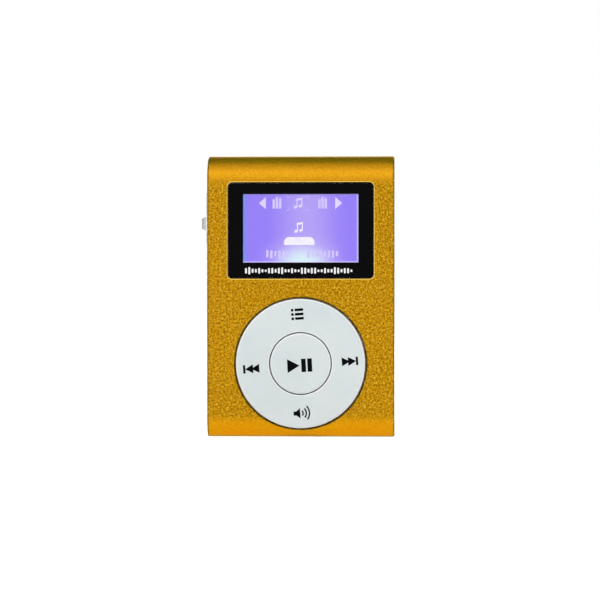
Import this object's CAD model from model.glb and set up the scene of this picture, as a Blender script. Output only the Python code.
"""A small clip-on digital audio player with a gold anodised housing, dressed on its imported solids."""

import logging
import math
from collections.abc import Callable, Iterable, Sequence
from dataclasses import dataclass, field
from enum import Enum, StrEnum
from typing import NamedTuple

import bmesh
import bpy
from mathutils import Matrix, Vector


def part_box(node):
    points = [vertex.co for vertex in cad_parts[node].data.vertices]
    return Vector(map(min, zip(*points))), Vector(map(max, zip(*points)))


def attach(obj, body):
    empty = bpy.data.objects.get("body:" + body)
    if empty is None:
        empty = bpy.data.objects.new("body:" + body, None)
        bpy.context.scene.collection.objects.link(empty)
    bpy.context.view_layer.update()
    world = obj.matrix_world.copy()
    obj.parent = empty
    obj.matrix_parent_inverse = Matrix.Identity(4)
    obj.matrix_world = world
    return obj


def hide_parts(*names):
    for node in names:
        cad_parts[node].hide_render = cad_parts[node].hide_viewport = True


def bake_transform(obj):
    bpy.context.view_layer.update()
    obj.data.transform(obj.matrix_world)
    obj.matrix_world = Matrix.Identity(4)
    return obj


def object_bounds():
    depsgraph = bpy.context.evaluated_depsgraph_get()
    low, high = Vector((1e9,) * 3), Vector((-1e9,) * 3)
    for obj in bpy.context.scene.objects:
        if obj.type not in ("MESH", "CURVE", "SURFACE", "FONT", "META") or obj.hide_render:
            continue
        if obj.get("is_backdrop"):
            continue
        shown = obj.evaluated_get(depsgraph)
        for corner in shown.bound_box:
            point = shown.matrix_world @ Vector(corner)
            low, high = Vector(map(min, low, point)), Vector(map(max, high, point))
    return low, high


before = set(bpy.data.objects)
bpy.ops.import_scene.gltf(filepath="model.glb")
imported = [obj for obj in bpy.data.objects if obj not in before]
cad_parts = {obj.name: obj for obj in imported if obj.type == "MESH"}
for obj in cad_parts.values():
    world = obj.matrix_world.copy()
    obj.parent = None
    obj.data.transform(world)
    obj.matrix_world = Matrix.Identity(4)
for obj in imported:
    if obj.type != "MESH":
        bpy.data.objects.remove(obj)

MM = 0.001
WELD = 1e-6
TOUCH = 0.01 * MM
FLAT_ANGLE = math.radians(0.3)
CREASE_ANGLE = math.radians(38)
CUT_ANGLE = 1.0
LOG = logging.getLogger("player")

Colour = tuple[float, float, float]
Triple = tuple[float, float, float]
Point = tuple[float, float]
Outline = Sequence[Point]
Shapes = Iterable[Outline]
Material = bpy.types.Material
Mesh = bpy.types.Mesh
Shape = bmesh.types.BMesh
Socket = bpy.types.NodeSocket
Thing = bpy.types.Object
Value = Socket | float | Colour
Where = Callable[[Vector], bool]
Cut = tuple[Where, float, float, int]
Arc = tuple[Point, Sequence[float], Point]


def rgb(red: int, green: int, blue: int) -> Colour:
    """Turns a colour given as 0 to 255 into the linear numbers a shader takes.

    Args:
        red: red, 0 to 255.
        green: green, 0 to 255.
        blue: blue, 0 to 255.

    Returns:
        The same colour in linear light.
    """
    parts = [part / 255 for part in (red, green, blue)]
    return tuple(p / 12.92 if p <= 0.04045 else ((p + 0.055) / 1.055) ** 2.4 for p in parts)


def turned(x: float, z: float, angle: float) -> Point:
    """Turns a point anticlockwise about the origin, by an angle in degrees."""
    cos, sin = math.cos(math.radians(angle)), math.sin(math.radians(angle))
    return x * cos - z * sin, x * sin + z * cos


def moved(point: Point, by: Point) -> Point:
    """Moves a point."""
    return point[0] + by[0], point[1] + by[1]


class Axis(StrEnum):
    """A direction of the shared frame."""

    X = "X"
    Z = "Z"


class Body(StrEnum):
    """A body that pieces move with."""

    HOUSING = "housing"
    RING = "ring"
    RING_WEB = "ring_web"
    PLAY_KEY = "play_key"
    POWER_SLIDER = "power_slider"
    CLIP = "clip"


class Way(Enum):
    """Which way a sign points along X."""

    LEFT = -1
    RIGHT = 1


class Winding(NamedTuple):
    """How a spring or a soft web bends: the body its far end follows, and where that starts and ends."""

    body: Body
    start: Triple
    end: Triple


class Bench:
    """The node bench on which one finish, or the light of the surroundings, is put together."""

    def __init__(self, holder: Material | bpy.types.World) -> None:
        """Takes what the nodes belong to, its surface and its own coordinates.

        Args:
            holder: a material or the surroundings.
        """
        holder.use_nodes = True
        self.tree = holder.node_tree
        self.surface = self.tree.nodes.get("Principled BSDF") or self.tree.nodes["Background"]
        self.place = self.node("ShaderNodeTexCoord").outputs["Object"]
        self.axes = self.node("ShaderNodeSeparateXYZ")
        self.feed(self.axes.inputs[0], self.place)

    def node(self, kind: str, **settings: object) -> bpy.types.Node:
        """Adds one node.

        Args:
            kind: the node's type.
            **settings: properties of the node itself.

        Returns:
            The new node.
        """
        made = self.tree.nodes.new(kind)
        for key, value in settings.items():
            setattr(made, key, value)
        return made

    def feed(self, entry: Socket, value: Value) -> None:
        """Links a socket to an entry, or sets the entry's own number or colour.

        Args:
            entry: the socket that takes the value.
            value: a socket, a number or a colour.
        """
        if isinstance(value, Socket):
            self.tree.links.new(value, entry)
        elif isinstance(value, tuple) and len(value) == 3 and entry.type == "RGBA":
            entry.default_value = (*value, 1.0)
        else:
            entry.default_value = value

    def dress(self, **entries: Value) -> None:
        """Feeds the surface's entries, named in lower case with underscores.

        Args:
            **entries: value by entry name, such as base_color or roughness.
        """
        by_name = {entry.name.lower().replace(" ", "_"): entry for entry in self.surface.inputs}
        for name, value in entries.items():
            self.feed(by_name[name], value)

    def along(self, axis: Axis) -> Socket:
        """Gives the piece's own coordinate along an axis, in metres."""
        return self.axes.outputs[axis.value]

    def noise(self, grain: float, detail: float = 2.0, rough: float = 0.5, stretch: Triple = (1, 1, 1),
              shift: float = 0.0) -> Socket:
        """Adds cloudy noise.

        Args:
            grain: size of a cloud in metres.
            detail: how many finer layers it has.
            rough: how strong the finer layers are.
            stretch: factors on the three axes, below 1 for long grain.
            shift: moves the pattern, so that two finishes differ.

        Returns:
            The noise, 0 to 1.
        """
        scaled, cloud = self.node("ShaderNodeMapping"), self.node("ShaderNodeTexNoise")
        self.feed(scaled.inputs["Vector"], self.place)
        scaled.inputs["Scale"].default_value = [0.5 * s / grain for s in stretch]
        scaled.inputs["Location"].default_value = (shift, shift * 1.7, shift * 2.3)
        for entry, value in (("Vector", scaled.outputs[0]), ("Scale", 1.0), ("Detail", detail),
                             ("Roughness", rough)):
            self.feed(cloud.inputs[entry], value)
        return cloud.outputs[0]

    def cells(self, size: float, edges: bool = False) -> Socket:
        """Adds cells, as in foam or a crazed film.

        Args:
            size: size of a cell in metres.
            edges: True for the distance to the cell's edge.

        Returns:
            The distance, from 0.
        """
        cell = self.node("ShaderNodeTexVoronoi", feature="DISTANCE_TO_EDGE" if edges else "F1")
        self.feed(cell.inputs["Vector"], self.place)
        cell.inputs["Scale"].default_value = 1.0 / size
        return cell.outputs["Distance"]

    def span(self, value: Value, low: float, high: float, to_low: float = 0.0,
             to_high: float = 1.0) -> Socket:
        """Stretches a value from one range to another, smoothly and clamped.

        Args:
            value: what is stretched.
            low: value that becomes to_low.
            high: value that becomes to_high.
            to_low: result at low.
            to_high: result at high.

        Returns:
            The stretched value.
        """
        spread = self.node("ShaderNodeMapRange", interpolation_type="SMOOTHSTEP")
        for entry, number in zip(("Value", "From Min", "From Max", "To Min", "To Max"),
                                 (value, low, high, to_low, to_high)):
            self.feed(spread.inputs[entry], number)
        return spread.outputs[0]

    def sum(self, operation: str, first: Value, second: Value = 0.0) -> Socket:
        """Adds one step of arithmetic.

        Args:
            operation: the step's name, such as MULTIPLY.
            first: first value.
            second: second value.

        Returns:
            The result.
        """
        step = self.node("ShaderNodeMath", operation=operation)
        self.feed(step.inputs[0], first)
        self.feed(step.inputs[1], second)
        return step.outputs[0]

    def blend(self, share: Value, first: Value, second: Value) -> Socket:
        """Mixes two colours.

        Args:
            share: how much of the second shows, 0 to 1.
            first: first colour.
            second: second colour.

        Returns:
            The mixed colour.
        """
        mix = self.node("ShaderNodeMix", data_type="RGBA")
        for number, value in ((0, share), (6, first), (7, second)):
            self.feed(mix.inputs[number], value)
        return mix.outputs[2]

    def relief(self, height: Value, depth: float, strength: float = 1.0) -> Socket:
        """Raises the surface's grain for the light.

        Args:
            height: the pattern that is raised.
            depth: its depth in metres.
            strength: how strongly it shows.

        Returns:
            The bent normal.
        """
        bump = self.node("ShaderNodeBump")
        for entry, value in (("Strength", strength), ("Distance", depth), ("Height", height)):
            self.feed(bump.inputs[entry], value)
        return bump.outputs[0]

    def seen_rays(self) -> Socket:
        """Gives 1 for rays that show the background: direct, in gloss and through clear plates.

        Returns:
            The mask.
        """
        rays = self.node("ShaderNodeLightPath").outputs
        mask = self.sum("MAXIMUM", rays["Is Camera Ray"], rays["Is Glossy Ray"])
        return self.sum("MAXIMUM", mask, rays["Is Transmission Ray"])


class Finish:
    """What every finish can do: it is put together on a bench and becomes a material."""

    def make(self, name: str) -> Material:
        """Makes the finish's material.

        Args:
            name: the material's name.

        Returns:
            The material.
        """
        material = bpy.data.materials.new(name)
        self.fill(Bench(material))
        return material

    def fill(self, bench: Bench) -> None:
        """Puts the finish together on a bench, in its own way."""
        raise NotImplementedError


@dataclass(frozen=True)
class AnodisedFinish(Finish):
    """Aluminium, blasted to a fine speckle, dyed gold and anodised; brighter where it was rolled."""

    light: Colour = rgb(226, 166, 18)
    dark: Colour = rgb(110, 74, 0)
    pale: Colour = rgb(242, 210, 84)
    rolled: Colour = rgb(199, 140, 22)
    polished: Colour = rgb(205, 141, 6)
    dull: Colour = rgb(158, 152, 92)
    grain: float = 0.2 * MM
    fleck: float = 0.17 * MM
    cloud: float = 5 * MM
    scuff: float = 1.6 * MM
    roll: Point = (45.3 * MM, 46.5 * MM)
    foot: Point = (4.3 * MM, 2.2 * MM)
    roll_share: float = 0.68
    foot_share: float = 0.78
    base_share: float = 0.7
    base_line: float = 0.34 * MM
    has_rolls: bool = True
    wear: float = 0.22
    edge_on: Colour = (0.98, 0.8, 0.54)

    def fill(self, bench: Bench) -> None:
        """Puts the finish together.

        Args:
            bench: the bench it is made on.
        """
        speckle = bench.noise(self.grain, detail=5.0, rough=0.78)
        cloud = bench.noise(self.cloud, shift=3.1)
        face = bench.blend(bench.span(speckle, 0.33, 0.72), self.dark, self.light)
        flecks = bench.noise(self.fleck, rough=0.6, shift=11.3)
        face = bench.blend(bench.span(flecks, 0.52, 0.74, 0.0, 0.56), face, self.pale)
        face = bench.blend(bench.span(cloud, 0.3, 0.7, 0.0, 0.12), face, self.rolled)
        colour, roughness = face, bench.span(speckle, 0.3, 0.7, 0.34, 0.5)
        if self.has_rolls:
            height = bench.along(Axis.Z)
            base = (self.base_line, self.base_line / 3)
            for (low, high), share, tone in ((self.roll, self.roll_share, self.rolled),
                                             (self.foot, self.foot_share, self.polished),
                                             (base, self.base_share, self.dull)):
                colour = bench.blend(bench.span(height, low, high, 0.0, share), colour, tone)
            roughness = bench.sum("MULTIPLY", roughness, bench.span(height, *self.roll, 1.0, 0.92))
        scuffs = bench.noise(self.scuff, detail=4.0, rough=0.7, shift=7.7)
        colour = bench.blend(bench.span(scuffs, 0.62, 0.8, 0.0, self.wear), colour, self.light)
        bench.dress(base_color=colour, metallic=1.0, specular_tint=self.edge_on, roughness=roughness,
                    normal=bench.relief(speckle, 0.012 * MM, 0.55))


@dataclass(frozen=True)
class MetalFinish(Finish):
    """Bare or plated metal with fine drawn lines and small scratches."""

    colour: Colour
    shade: Colour
    roughness: float
    line: float = 0.12 * MM
    stain: float = 1.8 * MM
    stretch: Triple = (0.08, 1.0, 1.0)
    depth: float = 0.002 * MM

    def fill(self, bench: Bench) -> None:
        """Puts the finish together.

        Args:
            bench: the bench it is made on.
        """
        lines = bench.noise(self.line, detail=3.0, rough=0.6, stretch=self.stretch)
        stains = bench.noise(self.stain, detail=3.0, shift=2.0)
        colour = bench.blend(bench.span(stains, 0.35, 0.75, 0.0, 0.7), self.colour, self.shade)
        bench.dress(base_color=bench.blend(bench.span(lines, 0.3, 0.8, 0.0, 0.3), colour, self.shade),
                    metallic=1.0, normal=bench.relief(lines, self.depth, 0.4),
                    roughness=bench.span(lines, 0.2, 0.8, self.roughness - 0.06, self.roughness + 0.1))


@dataclass(frozen=True)
class MouldedFinish(Finish):
    """Moulded plastic or rubber: an even colour with a faint flow mottle and an eroded grain."""

    colour: Colour
    mottle: Colour
    roughness: float = 0.42
    grain: float = 0.09 * MM
    depth: float = 0.003 * MM
    subsurface: float = 0.0
    rib: float = 0.0
    rib_depth: float = 0.12 * MM
    ribs: Point = (-17.9 * MM, -18.1 * MM)
    rib_shade: Colour = rgb(146, 148, 148)

    def fill(self, bench: Bench) -> None:
        """Puts the finish together.

        Args:
            bench: the bench it is made on.
        """
        flow = bench.noise(4 * MM, detail=3.0, rough=0.55, shift=1.3)
        grain = bench.noise(self.grain, shift=5.0)
        rub = bench.noise(0.9 * MM, detail=4.0, rough=0.7, shift=9.0)
        colour = bench.blend(bench.span(flow, 0.35, 0.7), self.colour, self.mottle)
        colour = bench.blend(bench.span(grain, 0.35, 0.75, 0.0, 0.35), colour, self.mottle)
        normal = bench.relief(grain, self.depth, 0.5)
        if self.rib > 0:
            turns = bench.sum("SINE", bench.sum("MULTIPLY", bench.along(Axis.Z), math.tau / self.rib))
            tip = bench.span(bench.along(Axis.X), *self.ribs)
            ridges = bench.sum("MULTIPLY", bench.span(turns, -0.9, 0.4), tip)
            colour = bench.blend(bench.sum("MULTIPLY", tip, 0.6), colour, self.rib_shade)
            colour = bench.blend(bench.sum("MULTIPLY", ridges, 0.3), colour, self.colour)
            normal = bench.relief(ridges, self.rib_depth, 0.8)
        bench.dress(base_color=colour, normal=normal, subsurface_weight=self.subsurface,
                    subsurface_scale=0.3 * MM, subsurface_radius=(1.0, 1.0, 1.0),
                    roughness=bench.span(rub, 0.3, 0.75, self.roughness - 0.05, self.roughness + 0.08))


@dataclass(frozen=True)
class FoamFinish(Finish):
    """Open-cell foam or felted tape."""

    colour: Colour
    pit: Colour
    cell: float = 0.16 * MM

    def fill(self, bench: Bench) -> None:
        """Puts the finish together.

        Args:
            bench: the bench it is made on.
        """
        walls = bench.cells(self.cell, edges=True)
        fuzz = bench.noise(self.cell * 0.6, detail=3.0)
        pits = bench.span(walls, 0.05, 0.35)
        bench.dress(base_color=bench.blend(bench.sum("MULTIPLY", pits, fuzz), self.colour, self.pit),
                    roughness=bench.span(fuzz, 0.2, 0.8, 0.82, 0.98),
                    normal=bench.relief(bench.sum("SUBTRACT", fuzz, pits), 0.04 * MM, 0.8))


@dataclass(frozen=True)
class ClearFinish(Finish):
    """Clear hard plate with the faintest waviness and handling marks."""

    tint: Colour = (1.0, 1.0, 1.0)
    refraction: float = 1.49

    def fill(self, bench: Bench) -> None:
        """Puts the finish together.

        Args:
            bench: the bench it is made on.
        """
        smear = bench.noise(3 * MM, detail=4.0, rough=0.7)
        ripple = bench.noise(6 * MM, detail=1.0, shift=4.0)
        bench.dress(base_color=self.tint, transmission_weight=1.0, ior=self.refraction,
                    roughness=bench.span(smear, 0.55, 0.8, 0.0, 0.06),
                    normal=bench.relief(ripple, 0.004 * MM, 0.3))


@dataclass(frozen=True)
class BoardFinish(Finish):
    """Circuit board: solder mask over etched tracks, with bare glass fibre in between."""

    mask: Colour = rgb(22, 92, 48)
    track: Colour = rgb(44, 128, 70)
    bare: Colour = rgb(196, 162, 84)
    pitch: float = 0.5 * MM
    hole_pitch: float = 2.3 * MM

    def fill(self, bench: Bench) -> None:
        """Puts the finish together.

        Args:
            bench: the bench it is made on.
        """
        upright = bench.node("ShaderNodeMapping")
        bench.feed(upright.inputs["Vector"], bench.place)
        upright.inputs["Rotation"].default_value = (math.pi / 2, 0, 0)
        tracks = bench.node("ShaderNodeTexBrick", offset=0.37, squash=0.6, squash_frequency=3)
        for entry, value in (("Vector", upright.outputs[0]), ("Scale", 1 / (6 * self.pitch)),
                             ("Mortar Size", 0.05), ("Mortar Smooth", 0.2), ("Brick Width", 0.9),
                             ("Row Height", 0.25)):
            bench.feed(tracks.inputs[entry], value)
        etched = tracks.outputs["Fac"]
        holes = bench.span(bench.cells(self.hole_pitch), 0.12, 0.09)
        weave = bench.noise(0.25 * MM, stretch=(1, 1, 0.3))
        colour = bench.blend(etched, self.mask, self.track)
        colour = bench.blend(bench.span(weave, 0.4, 0.8, 0.0, 0.3), colour, self.track)
        bench.dress(base_color=bench.blend(holes, colour, self.bare), coat_weight=0.3,
                    metallic=bench.sum("MULTIPLY", holes, 0.8),
                    roughness=bench.span(weave, 0.2, 0.8, 0.25, 0.4),
                    normal=bench.relief(etched, 0.02 * MM, 0.5))


@dataclass(frozen=True)
class FoilFinish(Finish):
    """Laminated pouch foil, faintly dimpled and creased along its folds."""

    colour: Colour = rgb(198, 202, 206)
    crease: Colour = rgb(150, 155, 160)

    def fill(self, bench: Bench) -> None:
        """Puts the finish together.

        Args:
            bench: the bench it is made on.
        """
        fold = bench.span(bench.cells(3.5 * MM, edges=True), 0.0, 0.08, 1.0, 0.0)
        dimples = bench.noise(0.6 * MM, detail=3.0)
        bench.dress(base_color=bench.blend(fold, self.colour, self.crease), metallic=0.9,
                    roughness=bench.span(dimples, 0.2, 0.8, 0.28, 0.42),
                    normal=bench.relief(bench.sum("SUBTRACT", dimples, fold), 0.03 * MM, 0.5))


@dataclass(frozen=True)
class ScreenFinish(Finish):
    """The lit screen: violet-blue sides, a lilac middle and the lamp's pale glow at the bottom."""

    side: Colour = rgb(138, 110, 245)
    middle: Colour = rgb(170, 149, 244)
    halo: Colour = rgb(204, 184, 246)
    lamp: Colour = rgb(214, 241, 246)
    edge: Colour = rgb(98, 132, 232)
    rim: Colour = rgb(222, 218, 248)
    top: Colour = rgb(132, 122, 196)
    unlit: Colour = rgb(20, 18, 40)
    centre_x: float = 1.0 * MM
    lamp_x: float = 0.3 * MM
    low: float = 31.6 * MM
    high: float = 44.0 * MM
    half: float = 10.45 * MM
    drift: float = 1.6 * MM
    middle_reach: Point = (8.5 * MM, 1.2 * MM)
    halo_reach: Point = (9.5 * MM, 2.0 * MM)
    lamp_reach: Point = (6.2 * MM, 0.6 * MM)

    def fill(self, bench: Bench) -> None:
        """Puts the finish together.

        Args:
            bench: the bench it is made on.
        """
        x, z = bench.along(Axis.X), bench.along(Axis.Z)
        off = bench.sum("ABSOLUTE", bench.sum("SUBTRACT", x, self.centre_x))
        wide = bench.sum("ADD", off, bench.sum("MULTIPLY", bench.noise(4 * MM), self.drift))
        rise = bench.sum("MULTIPLY", bench.sum("SUBTRACT", z, self.low), 1.5)
        aside = bench.sum("SUBTRACT", x, self.lamp_x)
        reach = bench.sum("POWER", bench.sum("ADD", bench.sum("POWER", rise, 2.0),
                                             bench.sum("POWER", aside, 2.0)), 0.5)
        rims = bench.sum("MAXIMUM", bench.span(z, self.low + 0.34 * MM, self.low + 0.1 * MM),
                         bench.span(x, self.half - 0.4 * MM, self.half - 0.15 * MM))
        colour = bench.blend(bench.span(wide, *self.middle_reach), self.side, self.middle)
        for share, tone in (
                (bench.span(reach, *self.halo_reach, 0.0, 0.5), self.halo),
                (bench.span(reach, *self.lamp_reach, 0.0, 0.95), self.lamp),
                (bench.span(x, 1.1 * MM - self.half, -self.half, 0.0, 0.8), self.edge),
                (bench.sum("MULTIPLY", rims, 0.55), self.rim),
                (bench.span(z, self.high - 0.3 * MM, self.high - 0.05 * MM, 0.0, 0.75), self.top)):
            colour = bench.blend(share, colour, tone)
        bench.dress(base_color=self.unlit, roughness=0.25, emission_color=colour, emission_strength=1.0)


@dataclass(frozen=True)
class GlowFinish(Finish):
    """A sign drawn in light on the screen."""

    colour: Colour
    softness: float
    soft: Colour = rgb(190, 176, 252)
    unlit: Colour = rgb(20, 18, 40)

    def fill(self, bench: Bench) -> None:
        """Puts the finish together.

        Args:
            bench: the bench it is made on.
        """
        uneven = bench.span(bench.noise(0.5 * MM, detail=1.0), 0.3, 0.75, 0.0, self.softness)
        bench.dress(base_color=self.unlit, roughness=0.4, emission_strength=1.0,
                    emission_color=bench.blend(uneven, self.colour, self.soft))


@dataclass(frozen=True)
class InkFinish(Finish):
    """Printed ink, a little thinner here and there."""

    colour: Colour
    thin: Colour
    roughness: float = 0.45
    gloss: float = 0.5

    def fill(self, bench: Bench) -> None:
        """Puts the finish together.

        Args:
            bench: the bench it is made on.
        """
        cover = bench.noise(0.22 * MM, detail=3.0, rough=0.6)
        bench.dress(base_color=bench.blend(bench.span(cover, 0.45, 0.85, 0.0, 0.5), self.colour, self.thin),
                    roughness=bench.span(cover, 0.2, 0.8, self.roughness - 0.06, self.roughness + 0.08),
                    specular_ior_level=self.gloss, normal=bench.relief(cover, 0.002 * MM, 0.4))


class Stock(Enum):
    """The finishes. Those of the solids are named as their material slots."""

    ANODISED_GOLD = AnodisedFinish()
    CLIP_GOLD = AnodisedFinish(has_rolls=False)
    EDGE_GOLD = AnodisedFinish(rgb(186, 140, 30), rgb(128, 90, 8), has_rolls=False, wear=0.6)
    END_GOLD = AnodisedFinish(rgb(148, 114, 26), rgb(104, 76, 8), has_rolls=False, wear=0.3)
    HOLE_EDGE = AnodisedFinish(rgb(58, 44, 14), rgb(30, 22, 6), has_rolls=False, wear=0.1)
    CUT_EDGE = MetalFinish(rgb(238, 200, 104), rgb(214, 168, 70), 0.3)
    WHITE_PLASTIC = MouldedFinish(rgb(228, 231, 229), rgb(219, 223, 222), 0.38, subsurface=0.15)
    KEY_PLASTIC = MouldedFinish(rgb(219, 227, 227), rgb(213, 222, 223), 0.34, 0.14 * MM, 0.0015 * MM, 0.1)
    KEY_EDGE = MouldedFinish(rgb(252, 253, 252), rgb(247, 250, 250), 0.28, subsurface=0.1)
    KNOB_PLASTIC = MouldedFinish(rgb(202, 204, 203), rgb(190, 193, 193), 0.4, rib=0.4 * MM)
    CLEAR_WINDOW = ClearFinish()
    BLACK_MASK = InkFinish(rgb(13, 13, 16), rgb(17, 17, 20), 0.3)
    BLACK_FOAM = FoamFinish(rgb(30, 30, 32), rgb(8, 8, 9))
    DISPLAY_GLASS = ScreenFinish()
    LIGHT_GUIDE = MouldedFinish(rgb(232, 236, 244), rgb(222, 228, 240), 0.5, subsurface=0.3)
    DISPLAY_FRAME = MouldedFinish(rgb(226, 226, 222), rgb(214, 214, 208), 0.5)
    COPPER_FILM = BoardFinish(rgb(170, 96, 36), rgb(204, 132, 62), rgb(226, 176, 92), 0.22 * MM)
    SILICONE = MouldedFinish(rgb(176, 184, 184), rgb(160, 168, 169), 0.6, subsurface=0.3)
    SWITCH_STEEL = MetalFinish(rgb(188, 190, 194), rgb(140, 142, 148), 0.3)
    BLACK_PLASTIC = MouldedFinish(rgb(26, 26, 28), rgb(34, 34, 36), 0.45)
    IVORY_PLASTIC = MouldedFinish(rgb(228, 222, 204), rgb(216, 209, 188), 0.5, subsurface=0.1)
    GREEN_BOARD = BoardFinish()
    SCREW_STEEL = MetalFinish(rgb(180, 182, 186), rgb(128, 130, 134), 0.32, stretch=(1, 1, 1))
    CHIP_BLACK = MouldedFinish(rgb(30, 31, 34), rgb(42, 43, 46), 0.55, grain=0.05 * MM)
    CRYSTAL_CAN = MetalFinish(rgb(206, 206, 204), rgb(170, 170, 168), 0.22)
    CERAMIC = MouldedFinish(rgb(164, 140, 104), rgb(120, 98, 70), 0.5)
    CONTACT_GOLD = MetalFinish(rgb(240, 200, 110), rgb(206, 160, 72), 0.2)
    SOCKET_STEEL = MetalFinish(rgb(204, 206, 208), rgb(160, 162, 166), 0.26)
    BATTERY_FOIL = FoilFinish()
    AMBER_BOARD = BoardFinish(rgb(150, 98, 30), rgb(186, 130, 54), rgb(224, 186, 104), 0.3 * MM)
    RED_LEAD = MouldedFinish(rgb(176, 22, 20), rgb(150, 16, 16), 0.4)
    BLACK_LEAD = MouldedFinish(rgb(22, 22, 24), rgb(32, 32, 34), 0.4)
    WHITE_FOAM = FoamFinish(rgb(232, 232, 228), rgb(196, 196, 190))
    PIN_STEEL = MetalFinish(rgb(210, 212, 214), rgb(168, 170, 174), 0.18)
    SPRING_STEEL = MetalFinish(rgb(172, 174, 178), rgb(112, 114, 120), 0.24, stretch=(1, 1, 1))
    BLACK_INK = InkFinish(rgb(3, 4, 4), rgb(9, 10, 10), 0.7, 0.05)
    WHITE_INK = InkFinish(rgb(244, 244, 244), rgb(214, 214, 216))
    SCREEN_BRIGHT = GlowFinish(rgb(246, 241, 254), 0.15)
    SCREEN_LIGHT = GlowFinish(rgb(222, 214, 252), 0.3)
    SCREEN_DIM = GlowFinish(rgb(208, 197, 250), 0.4)
    SCREEN_HAZE = GlowFinish(rgb(184, 167, 247), 0.4)

    @property
    def label(self) -> str:
        """Gives the name of the material and of the slot."""
        return self.name.lower()


class Workshop:
    """Makes and places pieces: softened copies of solids, prints and dressed solids."""

    def __init__(self) -> None:
        """Starts with no finish made."""
        self.made: dict[Stock, Material] = {}

    def take(self, finish: Stock) -> Material:
        """Gives a finish's material, and makes it the first time.

        Args:
            finish: the finish.

        Returns:
            The material.
        """
        if finish not in self.made:
            self.made[finish] = finish.value.make(finish.label)
        return self.made[finish]

    def dress(self, finish: Stock, *nodes: str) -> None:
        """Gives solids that keep their own shape the finish of their slot.

        Args:
            finish: the finish, named as the slot.
            *nodes: the solids.
        """
        for name in nodes:
            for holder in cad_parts[name].material_slots:
                holder.material = self.take(finish)
            LOG.info("solid %s wears %s", name, finish.label)

    def place(self, name: str, mesh: Mesh, body: Body, finishes: Sequence[Stock],
              replaces: Sequence[str] = (), likeness: Stock | None = None,
              winds: Winding | None = None) -> Thing:
        """Puts a made mesh on its body. A rigid one that stands for a solid gets settled shading.

        Args:
            name: the piece's name.
            mesh: its mesh, in the shared frame.
            body: the body it moves with.
            finishes: the finishes in the order of the mesh's material numbers.
            replaces: the solids it stands for.
            likeness: the finish whose slot it takes, if not the first of its own.
            winds: how it bends towards a second body, for a spring or a soft web.

        Returns:
            The piece.
        """
        for finish in finishes:
            mesh.materials.append(self.take(finish))
        piece = bpy.data.objects.new(name, mesh)
        bpy.context.scene.collection.objects.link(piece)
        if winds:
            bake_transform(piece)
        else:
            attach(piece, body)
        if replaces:
            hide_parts(*replaces)
        if replaces and not winds:
            self.settle(piece)
        LOG.info("piece %s rides on %s, %d faces", name, body, len(mesh.polygons))
        return piece

    def settle(self, piece: Thing) -> None:
        """Lets wide flats rule the shading, so that only the broken edges look round.

        Args:
            piece: the piece.
        """
        weights = piece.modifiers.new("flats", "WEIGHTED_NORMAL")
        weights.weight = 100
        weights.keep_sharp = False

    def cast(self, work: Shape, name: str, smooth: bool = False) -> Mesh:
        """Turns a worked shape into a mesh and puts the work away.

        Args:
            work: the worked shape.
            name: the mesh's name.
            smooth: True for faces that are shaded as one round surface.

        Returns:
            The mesh.
        """
        mesh = bpy.data.meshes.new(name)
        work.to_mesh(mesh)
        work.free()
        for face in mesh.polygons:
            face.use_smooth = smooth
        return mesh

    def soften(self, node: str, width: float, cuts: Iterable[Cut] = (), arcs: Iterable[Arc] = (),
               number: int = -1) -> Mesh:
        """Copies a solid, rounds its roll finer and breaks its edges, as tumbling or a mould does.

        Args:
            node: the solid.
            width: width of the broken edge in metres.
            cuts: first cuts of their own: which edge ends they take, width, depth (0 for a plain bevel)
                and material number.
            arcs: centre (y, z), radii and (first, last) angle in degrees of arcs about X that get finer.
            number: material number of the broken edges, or -1 for that of their neighbours.

        Returns:
            The new mesh, which stays in the solid's box.
        """
        low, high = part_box(node)
        work = bmesh.new()
        work.from_mesh(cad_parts[node].data)
        bmesh.ops.remove_doubles(work, verts=work.verts, dist=WELD)
        bmesh.ops.dissolve_limit(work, angle_limit=FLAT_ANGLE, verts=work.verts, edges=work.edges)
        for taken, cut, depth, cut_number in cuts:
            edges = [e for e in self.creases(work, CUT_ANGLE) if all(taken(v.co) for v in e.verts)]
            front = edges[0].verts[0].co.y
            bmesh.ops.bevel(work, geom=edges, offset=cut, segments=1, affect="EDGES", material=cut_number,
                            clamp_overlap=False)
            for vert in work.verts:
                if (depth and abs(vert.co.y - front - cut) < TOUCH
                        and taken(Vector((vert.co.x, front, vert.co.z)))):
                    vert.co.y = front + depth
        bmesh.ops.bevel(work, geom=self.creases(work, CREASE_ANGLE), offset=width, segments=2, profile=0.5,
                        affect="EDGES", clamp_overlap=False, material=number)
        for centre, radii, turns in arcs:
            self.refine(work, centre, radii, turns)
        for vert in work.verts:
            vert.co = [min(max(c, a), b) for c, a, b in zip(vert.co, low, high)]
        return self.cast(work, node + "_soft", smooth=True)

    def creases(self, work: Shape, angle: float) -> list[bmesh.types.BMEdge]:
        """Finds the edges where two faces meet at more than an angle in radians."""
        return [e for e in work.edges if len(e.link_faces) == 2 and e.calc_face_angle() > angle]

    def refine(self, work: Shape, centre: Point, radii: Sequence[float], turns: Point) -> None:
        """Cuts an arc about X into finer strips and moves the new corners onto the true radius.

        Args:
            work: the worked shape.
            centre: the arc's centre (y, z) in metres.
            radii: its radii in metres.
            turns: first and last angle from +Y in degrees.
        """
        middle = Vector((0, *centre))

        def reach(vert: bmesh.types.BMVert) -> tuple[float, float]:
            """Gives a corner's angle in degrees and its distance from the arc's axis."""
            away = vert.co - middle
            return math.degrees(math.atan2(away.z, away.y)), math.hypot(away.y, away.z)

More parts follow.
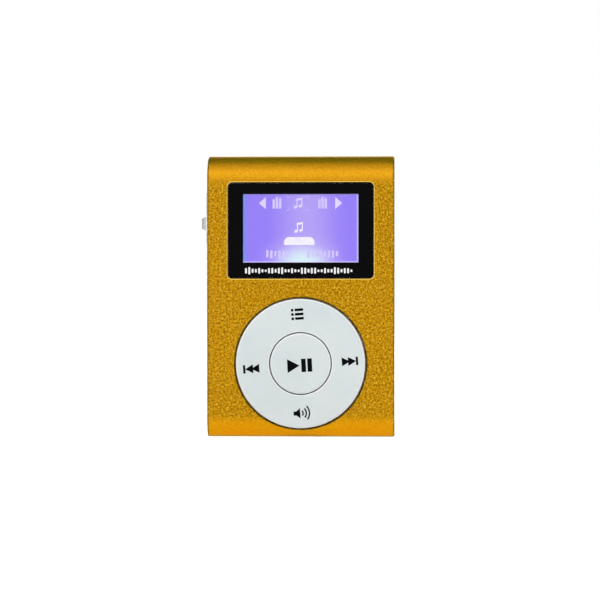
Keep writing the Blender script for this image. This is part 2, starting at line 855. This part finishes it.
        for radius in radii:
            marks = sorted({round(angle, 1) for angle, away in map(reach, work.verts)
                            if abs(away - radius) < 0.002 * MM and turns[0] - 1 < angle < turns[1] + 1})
            for first, second in zip(marks, marks[1:]):
                if second - first > 2:
                    turn = math.radians((first + second) / 2)
                    bmesh.ops.bisect_plane(work, geom=[*work.verts, *work.edges, *work.faces], dist=1e-7,
                                           plane_co=middle, plane_no=(0, -math.sin(turn), math.cos(turn)))
        for vert in work.verts:
            angle, away = reach(vert)
            for radius in radii:
                if turns[0] < angle < turns[1] and 1e-9 < radius - away < 0.014 * MM:
                    vert.co.y = middle.y + (vert.co.y - middle.y) * radius / away
                    vert.co.z = middle.z + (vert.co.z - middle.z) * radius / away

    def loft(self, work: Shape, hoops: Iterable[Iterable[Iterable[float]]]) -> None:
        """Adds a closed shape that runs from hoop to hoop.

        Args:
            work: the worked shape it is added to.
            hoops: the corners of each hoop, as many in each.
        """
        rings = [[work.verts.new(corner) for corner in hoop] for hoop in hoops]
        for first, second in zip(rings, rings[1:]):
            for k in range(len(first)):
                work.faces.new((first[k - 1], first[k], second[k], second[k - 1]))
        work.faces.new(rings[0][::-1])
        work.faces.new(rings[-1])
        bmesh.ops.recalc_face_normals(work, faces=work.faces)

    def wire(self, name: str, path: Sequence[Vector], radius: float, sides: int = 14) -> Mesh:
        """Draws a round wire along a path, with blunt rounded ends.

        Args:
            name: the mesh's name.
            path: the points it follows, in metres.
            radius: the wire's radius.
            sides: how many sides it has.

        Returns:
            The mesh.
        """
        work = bmesh.new()
        side = Vector((1.0, 0.0, 0.0))
        hoops = []
        for i, point in enumerate(path):
            ahead = (path[min(i + 1, len(path) - 1)] - path[max(i - 1, 0)]).normalized()
            side = (side - ahead * side.dot(ahead)).normalized()
            other = ahead.cross(side)
            thick = radius * (0.6 if i in (0, len(path) - 1) else 1.0)
            turns = [math.tau * k / sides for k in range(sides)]
            hoops.append([point + thick * (math.cos(t) * side + math.sin(t) * other) for t in turns])
        self.loft(work, hoops)
        mesh = self.cast(work, name)
        for face in mesh.polygons:
            face.use_smooth = len(face.vertices) == 4
        return mesh

    def print_on(self, name: str, shapes: Shapes, centre: Point, front: float, thickness: float,
                 finish: Stock, likeness: Stock, body: Body = Body.HOUSING, turn: float = 0.0) -> None:
        """Makes a thin printed sign from outlines that face the front.

        Args:
            name: the sign's name.
            shapes: outlines of (x, z) points in millimetres about the sign's own middle.
            centre: where its middle goes (x, z) in millimetres.
            front: y of its front in millimetres.
            thickness: thickness in millimetres.
            finish: its finish.
            likeness: the finish whose slot it takes.
            body: the body it moves with.
            turn: how far it is turned anticlockwise, in degrees.
        """
        work = bmesh.new()
        for outline in shapes:
            corners = [moved(turned(x, z, turn), centre) for x, z in outline]
            self.loft(work, [[(x * MM, y * MM, z * MM) for x, z in corners]
                             for y in (front, front + thickness)])
        self.place(name, self.cast(work, name), body, [finish], likeness=likeness)


class Signs:
    """Outlines of the plain signs, in millimetres (x, z) about their own middle."""

    NOTE_SIZE = 0.95

    @staticmethod
    def bar(at: Point, size: Point, corner: float = 0.0) -> Outline:
        """Draws a bar.

        Args:
            at: its middle.
            size: its width and height.
            corner: radius of its corners.

        Returns:
            The outline.
        """
        spots = ((1, -1, -90), (1, 1, 0), (-1, 1, 90), (-1, -1, 180))
        steps = [22.5 * step for step in range(5)] if corner > 0 else [0.0]
        wide, tall = size[0] / 2 - corner, size[1] / 2 - corner
        return [moved(turned(corner, 0.0, start + step), (at[0] + side * wide, at[1] + up * tall))
                for side, up, start in spots for step in steps]

    @staticmethod
    def arrow(at: Point, size: Point, way: Way = Way.RIGHT) -> Outline:
        """Draws a filled arrow head.

        Args:
            at: its middle.
            size: its length along X and its height.
            way: where it points.

        Returns:
            The outline.
        """
        (x, z), ahead, half = at, way.value * size[0] / 2, size[1] / 2
        return [(x - ahead, z - half), (x + ahead, z), (x - ahead, z + half)]

    @staticmethod
    def disc(at: Point, size: Point, lean: float = 0.0) -> Outline:
        """Draws a filled oval.

        Args:
            at: its middle.
            size: its width and height.
            lean: how far it leans, in degrees.

        Returns:
            The outline.
        """
        turns = [math.tau * step / 16 for step in range(16)]
        return [moved(turned(size[0] / 2 * math.cos(t), size[1] / 2 * math.sin(t), lean), at) for t in turns]

    @staticmethod
    def wave(at: Point, radius: float, width: float, half: float) -> Outline:
        """Draws an arc of a sound wave that opens to -X.

        Args:
            at: the arc's centre.
            radius: its middle radius.
            width: the line's width.
            half: half its angle in degrees.

        Returns:
            The outline.
        """
        turns = [-half + half * i / 4 for i in range(9)]
        line = [turned(radius + width / 2, 0.0, t) for t in turns]
        line += [turned(radius - width / 2, 0.0, t) for t in turns[::-1]]
        return [moved(point, at) for point in line]

    @staticmethod
    def swell(outline: Outline, out: float) -> Outline:
        """Pushes an outline's corners away from its middle.

        Args:
            outline: the corners.
            out: how far they go.

        Returns:
            The larger outline.
        """
        x, z = (sum(part) / len(outline) for part in zip(*outline))
        larger = []
        for px, pz in outline:
            reach = math.hypot(px - x, pz - z) or 1.0
            larger.append((px + (px - x) / reach * out, pz + (pz - z) / reach * out))
        return larger

    @classmethod
    def list_lines(cls) -> list[Outline]:
        """Draws the menu sign: three lines with a dot before each."""
        columns = ((0.34, 1.55, 0.08), (-0.88, 0.46, 0.1))
        return [cls.bar((x, z), (wide, 0.46), corner) for x, wide, corner in columns
                for z in (-0.78, 0.0, 0.78)]

    @classmethod
    def loudspeaker(cls) -> list[Outline]:
        """Draws the volume sign: a loudspeaker with three waves."""
        horn = [(-1.75, -0.36), (-1.25, -0.36), (-0.55, -0.92), (-0.55, 0.92), (-1.25, 0.36), (-1.75, 0.36)]
        return [horn] + [cls.wave((-0.75, 0), r, 0.26, a) for r, a in ((0.72, 38), (1.3, 40), (1.88, 40))]

    @classmethod
    def skip(cls, way: Way) -> list[Outline]:
        """Draws the sign for the next or the last track.

        Args:
            way: right for the next track.

        Returns:
            The outlines.
        """
        return [*(cls.arrow((way.value * x, 0), (1.46, 1.6), way) for x in (-0.72, 0.4)),
                cls.bar((way.value * 1.28, 0), (0.4, 1.52))]

    @classmethod
    def play_pause(cls) -> list[Outline]:
        """Draws the sign for play and pause."""
        return [cls.arrow((-1.1, 0), (2.2, 2.5)), *(cls.bar((x, 0), (0.82, 2.4)) for x in (0.74, 1.86))]

    @classmethod
    def notes(cls) -> list[Outline]:
        """Draws two notes under one beam.

        Returns:
            The outlines.
        """
        parts = [cls.disc((-0.5, -0.75), (0.62, 0.44), 25), cls.disc((0.42, -0.58), (0.62, 0.44), 25),
                 cls.bar((-0.26, 0.02), (0.16, 1.5)), cls.bar((0.66, 0.18), (0.16, 1.5)),
                 [(-0.34, 0.45), (0.74, 0.65), (0.74, 1.0), (-0.34, 0.8)]]
        return [[(x * cls.NOTE_SIZE, z * cls.NOTE_SIZE) for x, z in part] for part in parts]


@dataclass
class Housing:
    """The gold housing tube and the two pale caps that close its ends."""

    shop: Workshop
    edge: float = 0.09 * MM
    window_cut: float = 0.185 * MM
    cut_depth: float = 0.06 * MM
    end_cut: float = 0.24 * MM
    end_x: float = 16.99 * MM
    back_y: float = 4.81 * MM
    ring_z: float = 13.3 * MM
    hole_r: float = 11.9 * MM
    hole_cut: float = 0.17 * MM
    foot_r: float = 5.0 * MM
    foot_y: float = 0.2 * MM
    foot_z: float = 3.6 * MM
    window_x: float = 13.3 * MM
    window_low: float = 28.6 * MM
    window_high: float = 46.2 * MM
    face_y: float = -4.8 * MM
    roll_z: float = 46.3 * MM
    roll_r: float = 4.8 * MM
    wall: float = 1.0 * MM
    cap_edge: float = 0.12 * MM

    def at_window(self, corner: Vector) -> bool:
        """Tells whether a corner lies on the window's front edge."""
        return (abs(corner.y - self.face_y) < TOUCH and abs(corner.x) < self.window_x
                and self.window_low < corner.z < self.window_high)

    def front_y(self, height: float) -> float:
        """Gives how far back the front lies at a height: flat, and round towards the foot."""
        drop = max(0.0, self.foot_z - height)
        return self.foot_y - math.sqrt(self.foot_r ** 2 - drop ** 2) if drop else self.face_y

    def at_ring(self, corner: Vector) -> bool:
        """Tells whether a corner lies on the front edge of the ring's hole."""
        away = math.hypot(corner.x, corner.z - self.ring_z)
        return abs(corner.y - self.front_y(corner.z)) < 3 * TOUCH and abs(away - self.hole_r) < 5 * TOUCH

    def at_end(self, corner: Vector) -> bool:
        """Tells whether a corner lies on the outer edge of an end of the tube.

        Args:
            corner: the corner.

        Returns:
            True if it does.
        """
        if abs(corner.x) < self.end_x or corner.y > self.back_y:
            return False
        inside, base = self.roll_r - self.wall / 2, corner.z < self.wall / 2
        if corner.z > self.roll_z:
            return math.hypot(corner.y, corner.z - self.roll_z) > inside
        if corner.z < self.foot_z and corner.y < 0:
            away = math.hypot(corner.y - self.foot_y, corner.z - self.foot_z)
            return away > self.foot_r - self.wall / 2 or base
        return abs(corner.y) > inside or base

    def build(self) -> None:
        """Makes the housing with its bright cut edge round the window, and the caps."""
        tube = self.shop.soften(
            "housing", self.edge, number=2,
            cuts=[(self.at_window, self.window_cut, self.cut_depth, 1), (self.at_ring, self.hole_cut, 0, 3),
                  (self.at_end, self.end_cut, 0, 2)],
            arcs=[((0.0, self.roll_z), (self.roll_r, self.roll_r - self.wall), (0, 180))])
        self.shop.place("housing_tube", tube, Body.HOUSING,
                        [Stock.ANODISED_GOLD, Stock.CUT_EDGE, Stock.END_GOLD, Stock.HOLE_EDGE], ["housing"])
        for side in ("left", "right"):
            self.shop.place(f"{side}_cap_moulding", self.shop.soften(f"{side}_end_cap", self.cap_edge),
                            Body.HOUSING, [Stock.WHITE_PLASTIC], [f"{side}_end_cap"])


@dataclass
class WindowAndScreen:
    """The clear window plate with its black mask, and the lit display; signs are in millimetres."""

    shop: Workshop
    plate_edge: float = 0.06 * MM
    print_y: float = -4.73
    print_depth: float = 0.01
    meter_x: Point = (-9.9, 9.2)
    meter_z: float = 30.1
    meter_count: int = 33
    meter_bar: Point = (0.34, 0.12)
    light_y: float = -3.56
    light_depth: float = 0.02
    haze: float = 0.16
    top_z: float = 42.4
    arrow: Point = (1.15, 2.05)
    blocks: Sequence[tuple[Point, Point]] = (
        ((-0.58, -0.15), (0.4, 1.5)), ((0.0, 0.05), (0.4, 1.9)), ((0.58, -0.05), (0.4, 1.7)))
    platform: Sequence[Point] = (
        (-2.6, -0.72), (2.6, -0.72), (2.78, -0.5), (2.7, 0.05), (2.45, 0.5), (2.05, 0.72),
        (-2.05, 0.72), (-2.45, 0.5), (-2.7, 0.05), (-2.78, -0.5))
    tick: Point = (0.5, 0.26)
    tick_lean: float = 35.0
    row_z: float = 33.15
    row_step: float = 0.74
    row_starts: Sequence[tuple[float, int]] = ((-6.1, 6), (1.4, 8))
    row_bar: Point = (0.44, 0.15)

    def build(self) -> None:
        """Makes the plate, the row of level strokes and the signs on the screen."""
        self.shop.place("window_lens", self.shop.soften("window_plate", self.plate_edge), Body.HOUSING,
                        [Stock.CLEAR_WINDOW], ["window_plate"])
        for finish, node in ((Stock.BLACK_MASK, "window_mask"), (Stock.BLACK_FOAM, "display_gasket"),
                             (Stock.DISPLAY_GLASS, "display_glass"), (Stock.LIGHT_GUIDE, "display_backlight"),
                             (Stock.DISPLAY_FRAME, "display_frame"), (Stock.COPPER_FILM, "display_flex")):
            self.shop.dress(finish, node)
        self.print_meter()
        self.light_signs()

    def print_meter(self) -> None:
        """Prints the row of level strokes under the screen."""
        first, last = self.meter_x
        wide, corner = self.meter_bar
        strokes = []
        for i in range(self.meter_count):
            tall = max(0.42, 0.8 + 0.32 * math.sin(i * 1.9) + 0.2 * math.sin(i * 0.7 + 1))
            x = first + (last - first) * i / (self.meter_count - 1)
            strokes.append(Signs.bar((x, 0), (wide, tall), corner))
        self.shop.print_on("level_strokes", strokes, (0, self.meter_z), self.print_y, self.print_depth,
                           Stock.WHITE_INK, Stock.BLACK_MASK)

    def light(self, name: str, finish: Stock, shapes: Shapes, centre: Point) -> None:
        """Lights a sign on the screen.

        Args:
            name: the sign's name.
            finish: its finish.
            shapes: its outlines.
            centre: where its middle goes (x, z).
        """
        self.shop.print_on(name, shapes, centre, self.light_y, self.light_depth, finish, Stock.DISPLAY_GLASS)

    def light_signs(self) -> None:
        """Lights the signs on the screen: arrows, soft blocks, notes, a bar and two rows of plain strokes."""
        blocks = [Signs.bar(at, size, 0.12) for at, size in self.blocks]
        back, ahead = ([Signs.arrow((0, 0), self.arrow, way)] for way in Way)
        for name, finish, shapes, centre in (
                ("arrow_left", Stock.SCREEN_LIGHT, back, (-6.96, self.top_z)),
                ("arrow_right", Stock.SCREEN_LIGHT, ahead, (6.85, self.top_z)),
                ("blocks_left", Stock.SCREEN_DIM, blocks, (-4.34, self.top_z)),
                ("blocks_right", Stock.SCREEN_DIM, blocks, (3.95, self.top_z)),
                ("notes_top", Stock.SCREEN_LIGHT, Signs.notes(), (-0.45, self.top_z)),
                ("notes_middle", Stock.SCREEN_BRIGHT, Signs.notes(), (-0.36, 38.0)),
                ("bar", Stock.SCREEN_BRIGHT, [self.platform], (-0.27, 35.5))):
            self.light("screen_" + name, finish, shapes, centre)
            self.shop.print_on(f"screen_{name}_haze", [Signs.swell(shape, self.haze) for shape in shapes],
                               centre, self.light_y + self.light_depth, self.light_depth / 2,
                               Stock.SCREEN_HAZE, Stock.DISPLAY_GLASS)
        ticks = [Signs.disc((x, z), self.tick, math.copysign(self.tick_lean, x * z))
                 for x in (-1.75, 1.75) for z in (-1.2, 1.2)]
        self.light("screen_ticks", Stock.SCREEN_HAZE, ticks, (-0.6, 42.3))
        wide, corner = self.row_bar
        rows = [(x + self.row_step * i, 1.25 + 0.35 * math.sin(2.3 * i + x)) for x, count in self.row_starts
                for i in range(count)]
        self.light("screen_strokes", Stock.SCREEN_DIM,
                   [Signs.bar((x, 0.08 * math.sin(5 * x)), (wide, tall), corner) for x, tall in rows],
                   (0, self.row_z))


@dataclass
class Keys:
    """The four-way ring, the play key, their pads, signs and switches; signs are in millimetres."""

    shop: Workshop
    ring_edge: float = 0.14 * MM
    web_edge: float = 0.05 * MM
    front: float = -5.4
    sink: float = 0.012
    ink: float = 0.016
    lean: float = 4.0
    centre: Point = (0.0, 13.3)
    play_at: Point = (-0.17, 12.95)
    sign_r: float = 8.95
    rim: Point = (0.2, 0.98)

    def build(self) -> None:
        """Makes the ring and the key with their printed signs, and the soft web under the ring."""
        for node, name, body in (("ring_button", "four_way_ring", Body.RING),
                                 ("play_button", "round_key", Body.PLAY_KEY)):
            mesh = self.shop.soften(node, self.ring_edge)
            for vert in mesh.vertices:
                vert.co.y = max(vert.co.y, (self.front + self.sink) * MM)
            for face in mesh.polygons:
                face.material_index = int(self.rim[0] < -face.normal.y < self.rim[1])
            self.shop.place(name, mesh, body, [Stock.KEY_PLASTIC, Stock.KEY_EDGE], [node])
        for name, shapes, angle in (
                ("list", Signs.list_lines(), 93.6), ("loudspeaker", Signs.loudspeaker(), 273.3),
                ("last", Signs.skip(Way.LEFT), 186.2), ("next", Signs.skip(Way.RIGHT), 2.7)):
            self.sign("sign_" + name, shapes, moved(turned(self.sign_r, 0.0, angle), self.centre), Body.RING,
                      self.lean)
        self.sign("sign_play", Signs.play_pause(), self.play_at, Body.PLAY_KEY, self.lean - 1)
        low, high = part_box("ring_pad")
        web = Winding(Body.RING_WEB, (0.0, low.y, high.z), (0.0, high.y, high.z))
        self.shop.place("soft_web", self.shop.soften("ring_pad", self.web_edge), Body.RING, [Stock.SILICONE],
                        ["ring_pad"], winds=web)
        self.shop.dress(Stock.SILICONE, "play_pad")
        self.shop.dress(Stock.SWITCH_STEEL, "key_switches")

    def sign(self, name: str, shapes: Shapes, centre: Point, body: Body, turn: float) -> None:
        """Prints a sign on the ring or the key.

        Args:
            name: the sign's name.
            shapes: its outlines.
            centre: where its middle goes (x, z).
            body: the body it moves with.
            turn: how far it is turned anticlockwise, in degrees.
        """
        self.shop.print_on(name, shapes, centre, self.front, self.ink, Stock.BLACK_INK, Stock.KEY_PLASTIC,
                           body, turn)


@dataclass
class PowerSlider:
    """The knob at the left side, its lever and the switch it moves."""

    shop: Workshop
    edge: float = 0.12 * MM

    def build(self) -> None:
        """Makes the knob and dresses what it moves."""
        self.shop.place("slider_knob", self.shop.soften("power_knob", self.edge), Body.POWER_SLIDER,
                        [Stock.KNOB_PLASTIC], ["power_knob"])
        self.shop.dress(Stock.BLACK_PLASTIC, "power_lever")
        self.shop.dress(Stock.SWITCH_STEEL, "power_switch_case")


@dataclass
class BackClip:
    """The sprung clip on the back with its pin and its coiled spring."""

    shop: Workshop
    edge: float = 0.1 * MM
    pin_edge: float = 0.08 * MM
    axis_y: float = 7.2 * MM
    axis_z: float = 40.0 * MM
    wire_r: float = 0.25 * MM
    coil_r: float = 1.2 * MM
    turns: float = 5.5
    width: float = 7.6 * MM
    leg: float = 4.4 * MM
    leg_y: Point = (5.1 * MM, 8.7 * MM)
    points_a_turn: int = 24

    def route(self) -> list[Vector]:
        """Gives the spring's route: up one leg, round the turns and along the other leg.

        Returns:
            The points in metres.
        """
        coil = []
        for i in range(int(self.points_a_turn * self.turns) + 1):
            share, turn = i / self.points_a_turn / self.turns - 0.5, math.tau * i / self.points_a_turn
            coil.append(Vector((self.width * share, self.axis_y - self.coil_r * math.cos(turn),
                                self.axis_z - self.coil_r * math.sin(turn))))
        legs = []
        for root, y in ((coil[0], self.leg_y[0]), (coil[-1], self.leg_y[1])):
            tip = Vector((root.x, y, self.axis_z + self.leg))
            legs.append([root.lerp(tip, share) for share in (0.12, 0.4, 0.7, 0.97, 1.0)])
        return legs[0][::-1] + coil + legs[1]

    def build(self) -> None:
        """Makes the clip, the pin and the spring."""
        self.shop.place("clip_plate", self.shop.soften("clip", self.edge, number=1), Body.CLIP,
                        [Stock.CLIP_GOLD, Stock.EDGE_GOLD], ["clip"], Stock.ANODISED_GOLD)
        self.shop.place("clip_pin", self.shop.soften("hinge_pin", self.pin_edge), Body.HOUSING,
                        [Stock.PIN_STEEL], ["hinge_pin"])
        reach = self.width / 2 - 1.5 * self.wire_r
        winding = Winding(Body.CLIP, (-reach, self.axis_y, self.axis_z), (reach, self.axis_y, self.axis_z))
        self.shop.place("coiled_spring", self.shop.wire("coiled_spring", self.route(), self.wire_r),
                        Body.HOUSING, [Stock.SPRING_STEEL], ["clip_spring"], winds=winding)


@dataclass
class Inside:
    """The board, sockets, battery and the chassis that carries them."""

    shop: Workshop
    finishes: dict[Stock, Sequence[str]] = field(default_factory=lambda: {
        Stock.IVORY_PLASTIC: ["chassis"], Stock.GREEN_BOARD: ["main_board"],
        Stock.SCREW_STEEL: ["board_screws"], Stock.CHIP_BLACK: ["audio_processor", "voltage_regulator"],
        Stock.CRYSTAL_CAN: ["clock_crystal"], Stock.CERAMIC: ["chip_components"],
        Stock.BLACK_PLASTIC: ["headphone_socket", "usb_tongue", "card_socket_base"],
        Stock.CONTACT_GOLD: ["headphone_contacts", "usb_contacts", "card_contacts"],
        Stock.SOCKET_STEEL: ["usb_shell", "card_socket_cover"], Stock.BATTERY_FOIL: ["battery_pouch"],
        Stock.AMBER_BOARD: ["battery_guard"], Stock.RED_LEAD: ["battery_lead_red"],
        Stock.BLACK_LEAD: ["battery_lead_black"], Stock.WHITE_FOAM: ["battery_tape"]})

    def build(self) -> None:
        """Dresses each inner solid in its finish."""
        for finish, nodes in self.finishes.items():
            self.shop.dress(finish, *nodes)


class Card(NamedTuple):
    """A card that only shows in the gloss of the metal and the window: its place, size and brightness."""

    name: str
    place: Triple
    wide: float
    deep: float
    colour: Colour


class Lamp(NamedTuple):
    """A square soft light: its place, side, power in watts, and whether gloss shows it."""

    name: str
    place: Triple
    size: float
    power: float
    shines: bool


@dataclass
class Studio:
    """The floor, the lights, the pale surroundings and the camera."""

    look_at: Triple = (-0.1 * MM, -4.8 * MM, 24.8 * MM)
    stand: Triple = (17.0 * MM, -404.8 * MM, 24.8 * MM)
    lens: float = 132.7
    sensor: float = 36.0
    nearest: float = 0.01
    ambient: float = 0.56
    floor_side: float = 8.0
    floor_drop: float = 0.02 * MM
    floor_tones: tuple[Colour, Colour] = ((0.84, 0.84, 0.84), (0.86, 0.86, 0.86))
    floor_glow: float = 0.6
    card_aim: Triple = (0.0, 0.0, 0.03)
    lamp_aim: Triple = (0.0, 0.0, 0.025)
    cards: Sequence[Card] = (Card("dark_card", (0.0, -0.85, 0.03), 0.2, 0.2, rgb(96, 96, 100)),
                             Card("overhead_card", (0.0, 0.28, 0.52), 1.3, 0.66, (0.18, 0.335, 0.19)))
    lamps: Sequence[Lamp] = (Lamp("key_light", (-0.1, -0.59, 0.5), 0.58, 1.0, True),
                             Lamp("modelling_light", (-0.25, -0.5, 0.62), 0.12, 1.9, False),
                             Lamp("left_light", (-0.9, -0.1, 0.35), 0.6, 0.9, True),
                             Lamp("right_light", (0.9, 0.1, 0.35), 0.6, 0.9, True),
                             Lamp("back_light", (0.1, 0.8, 0.5), 0.5, 1.7, True))

    def build(self) -> None:
        """Sets the floor, the cards, the lamps, the surroundings and the camera."""
        self.lay_floor()
        for card in self.cards:
            self.hang_card(card)
        for lamp in self.lamps:
            self.hang_lamp(lamp)
        self.light_world()
        self.set_camera()
        bpy.context.scene.view_settings.view_transform = "Standard"

    def stand_up(self, name: str, data: bpy.types.ID, place: Triple, target: Triple | None) -> Thing:
        """Puts a new thing in the scene.

        Args:
            name: its name.
            data: its mesh, light or camera.
            place: where it goes.
            target: what its -Z points at, if anything.

        Returns:
            The thing.
        """
        thing = bpy.data.objects.new(name, data)
        bpy.context.scene.collection.objects.link(thing)
        thing.location = place
        if target:
            thing.rotation_euler = (Vector(target) - thing.location).to_track_quat("-Z", "Y").to_euler()
        return thing

    def sheet(self, name: str, wide: float, deep: float, place: Triple,
              target: Triple | None = None) -> tuple[Thing, Bench]:
        """Makes a flat sheet of the stage.

        Args:
            name: its name.
            wide: its width.
            deep: its depth.
            place: its middle.
            target: what its back points at, if anything.

        Returns:
            The sheet, and the bench of its finish.
        """
        mesh, material = bpy.data.meshes.new(name), bpy.data.materials.new(name)
        x, y = wide / 2, deep / 2
        mesh.from_pydata([(-x, -y, 0), (x, -y, 0), (x, y, 0), (-x, y, 0)], [], [(0, 1, 2, 3)])
        mesh.materials.append(material)
        thing = self.stand_up(name, mesh, place, target)
        thing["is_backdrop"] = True
        return thing, Bench(material)

    def lay_floor(self) -> None:
        """Lays the near-white floor, which keeps the player's shadow."""
        _, bench = self.sheet("floor", self.floor_side, self.floor_side, (0.0, 0.0, -self.floor_drop))
        bench.dress(base_color=bench.blend(bench.noise(0.2), *self.floor_tones), roughness=0.9,
                    specular_ior_level=0.1, emission_color=(1.0, 1.0, 1.0),
                    emission_strength=bench.sum("MULTIPLY", bench.seen_rays(), self.floor_glow))

    def hang_card(self, card: Card) -> None:
        """Hangs a card.

        Args:
            card: the card.
        """
        thing, bench = self.sheet(card.name, card.wide, card.deep, card.place, self.card_aim)
        for ray in ("camera", "diffuse", "transmission", "shadow", "volume_scatter"):
            setattr(thing, "visible_" + ray, False)
        bench.dress(base_color=(0.0, 0.0, 0.0), roughness=1.0, specular_ior_level=0.0,
                    emission_color=card.colour, emission_strength=1.0)

    def hang_lamp(self, lamp: Lamp) -> None:
        """Hangs a lamp that faces the player.

        Args:
            lamp: the lamp.
        """
        light = bpy.data.lights.new(lamp.name, "AREA")
        light.size, light.energy = lamp.size, lamp.power
        self.stand_up(lamp.name, light, lamp.place, self.lamp_aim).visible_glossy = lamp.shines

    def light_world(self) -> None:
        """Makes the surroundings white to look at, and plain soft light for the rest."""
        world = bpy.data.worlds.new("surroundings")
        bpy.context.scene.world = world
        bench = Bench(world)
        bench.dress(color=(1.0, 1.0, 1.0), strength=bench.span(bench.seen_rays(), 0.0, 1.0, self.ambient))

    def set_camera(self) -> None:
        """Sets the camera straight before the face, a little to the right as in the photograph."""
        data = bpy.data.cameras.new("camera")
        data.lens, data.sensor_width, data.clip_start = self.lens, self.sensor, self.nearest
        bpy.context.scene.camera = self.stand_up("camera", data, self.stand, self.look_at)


def main() -> None:
    """Builds the studio and each sub-assembly in order."""
    logging.basicConfig(level=logging.INFO, format="%(message)s")
    solids_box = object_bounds()
    solids_box = (Vector(solids_box[0]), Vector(solids_box[1]))
    shop = Workshop()
    Studio().build()
    for part in (Housing, WindowAndScreen, Keys, PowerSlider, BackClip, Inside):
        LOG.info("building %s", part.__name__)
        part(shop).build()


if __name__ == "__main__":
    main()
